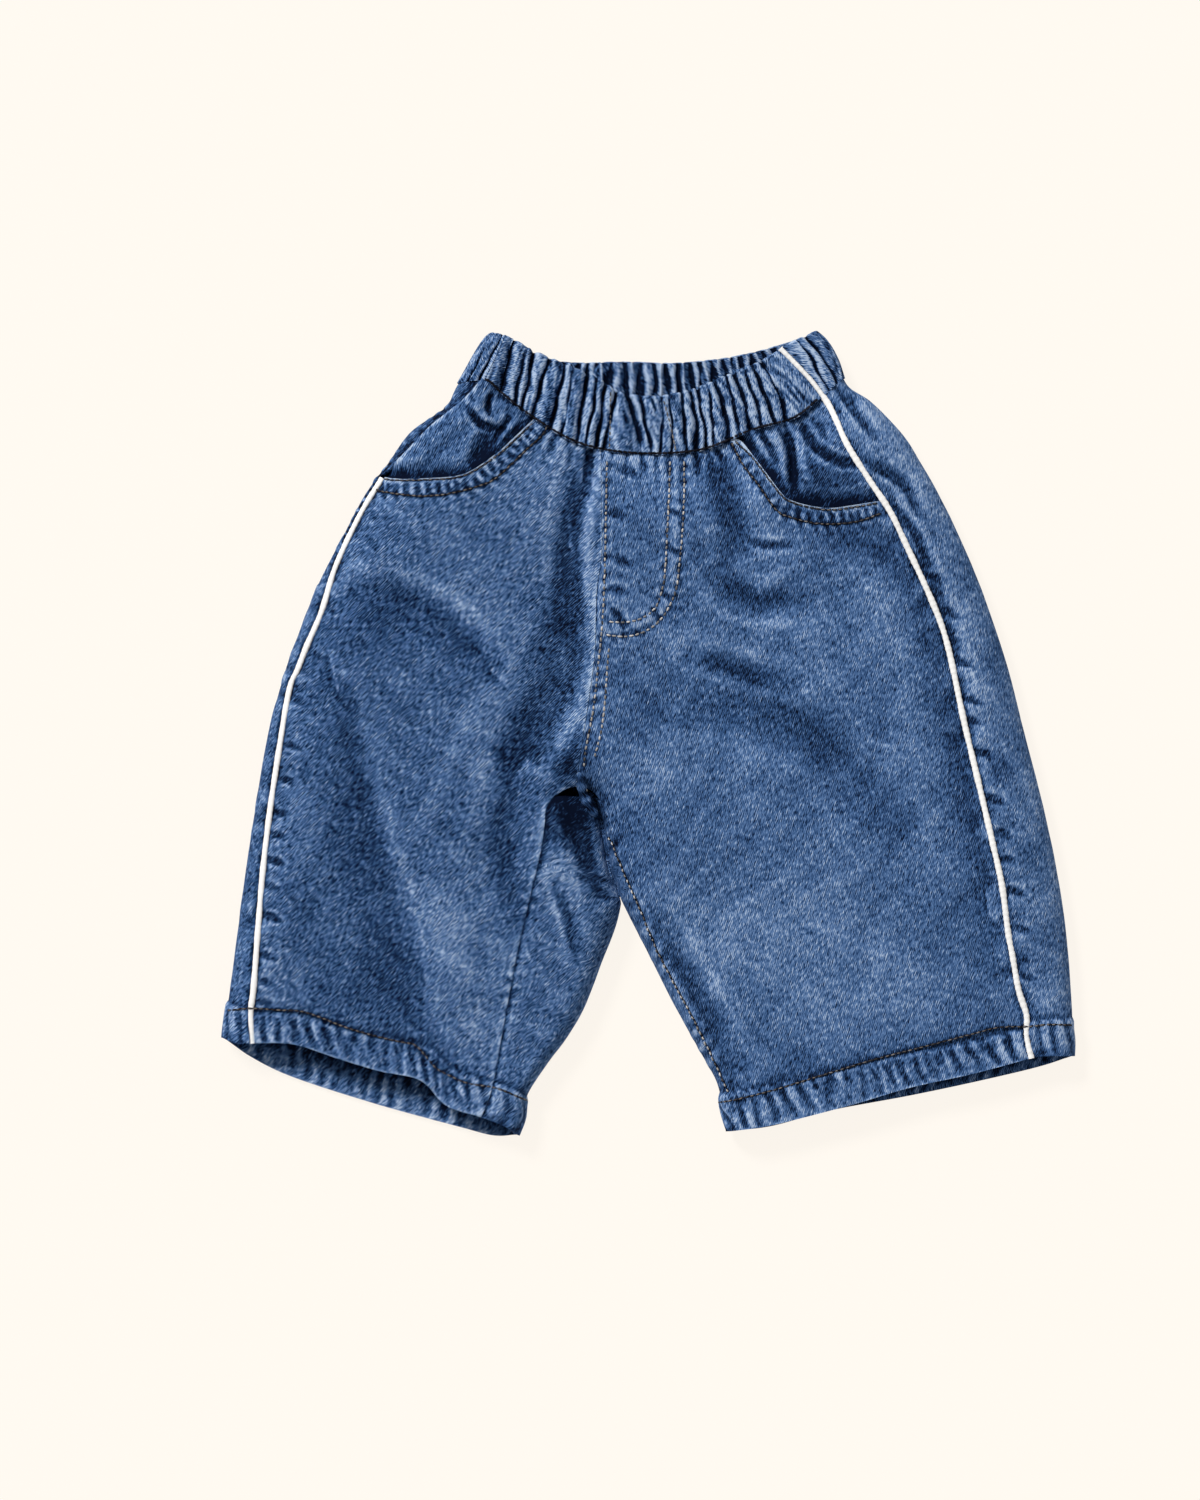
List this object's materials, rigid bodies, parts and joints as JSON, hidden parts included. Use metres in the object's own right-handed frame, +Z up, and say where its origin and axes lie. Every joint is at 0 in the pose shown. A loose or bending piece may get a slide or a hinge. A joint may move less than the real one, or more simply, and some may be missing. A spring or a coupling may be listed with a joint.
{
  "type": "jeans",
  "caption": "Child's wide pull-on denim jeans laid flat, with gathered elastic waist, mock fly, scoop front pockets, piped side seams and turned hems.",
  "frame": {"origin": "middle of the garment's box, on the plane it lies on", "axes": "+X towards the viewer's right, which is the wearer's left; +Y towards the waist; +Z up, out of the front"},
  "size_m": [0.4924, 0.466, 0.0295],
  "materials": {
    "denim": "washed mid-blue cotton denim twill",
    "piping": "off-white cotton piping cord cover"
  },
  "bodies": {
    "root": {"right_front_panel": "denim", "left_front_panel": "denim", "right_back_panel": "denim", "left_back_panel": "denim", "front_waist_casing": "denim", "back_waist_casing": "denim", "right_pocket_facing": "denim", "left_pocket_facing": "denim", "right_side_piping": "piping", "left_side_piping": "piping"}
  },
  "joints": []
}
